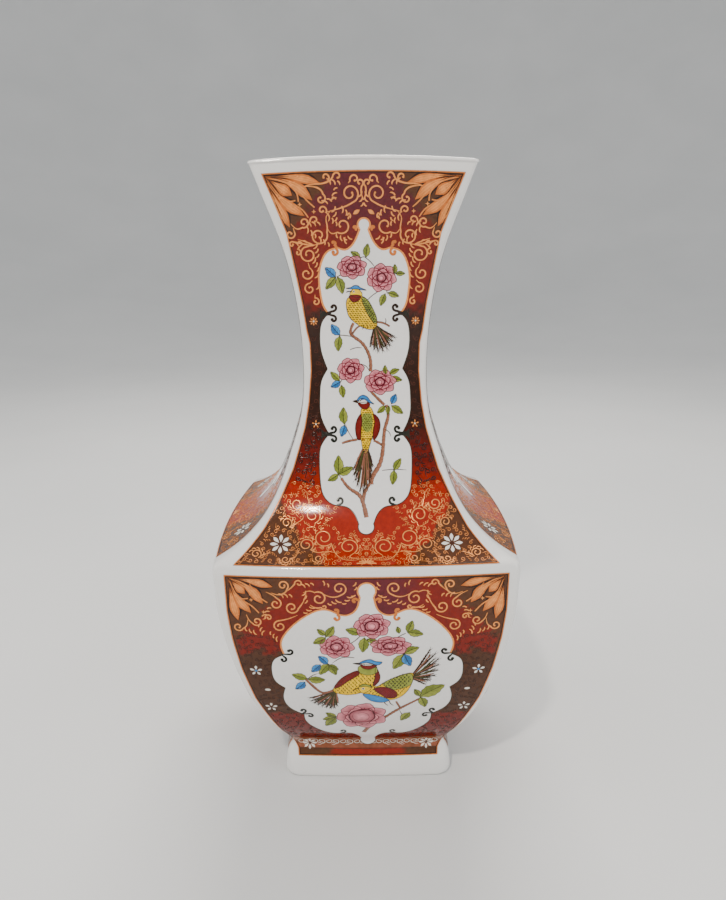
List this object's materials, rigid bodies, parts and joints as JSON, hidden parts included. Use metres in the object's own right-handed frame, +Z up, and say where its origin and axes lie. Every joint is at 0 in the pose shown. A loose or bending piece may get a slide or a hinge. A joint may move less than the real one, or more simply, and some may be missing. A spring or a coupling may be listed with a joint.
{
  "type": "square porcelain vase",
  "caption": "Square-plan porcelain vase for flowers or display, with a flared neck, sharp shoulder ridge, tapering belly, flared foot and fired printed panels on every side.",
  "frame": {"origin": "centre of the foot, on the surface the vase stands on", "axes": "+Z up through the mouth; the front face looks along -Y; +X to the right seen from the front"},
  "size_m": [0.1718, 0.1718, 0.352],
  "materials": {
    "porcelain": "clear glossy glaze over white porcelain",
    "foot_porcelain": "glossy glaze, bare matt rim underneath",
    "neck_print": "glossy fired enamel transfer, iron red and brown with gold",
    "belly_print": "glossy fired enamel transfer, iron red and brown with gold"
  },
  "bodies": {
    "root": {"neck_section": "porcelain", "belly_section": "porcelain", "base_plate": "porcelain", "foot_ring": "foot_porcelain", "neck_transfer_front": "neck_print", "neck_transfer_right": "neck_print", "neck_transfer_back": "neck_print", "neck_transfer_left": "neck_print", "belly_transfer_front": "belly_print", "belly_transfer_right": "belly_print", "belly_transfer_back": "belly_print", "belly_transfer_left": "belly_print"}
  },
  "joints": []
}
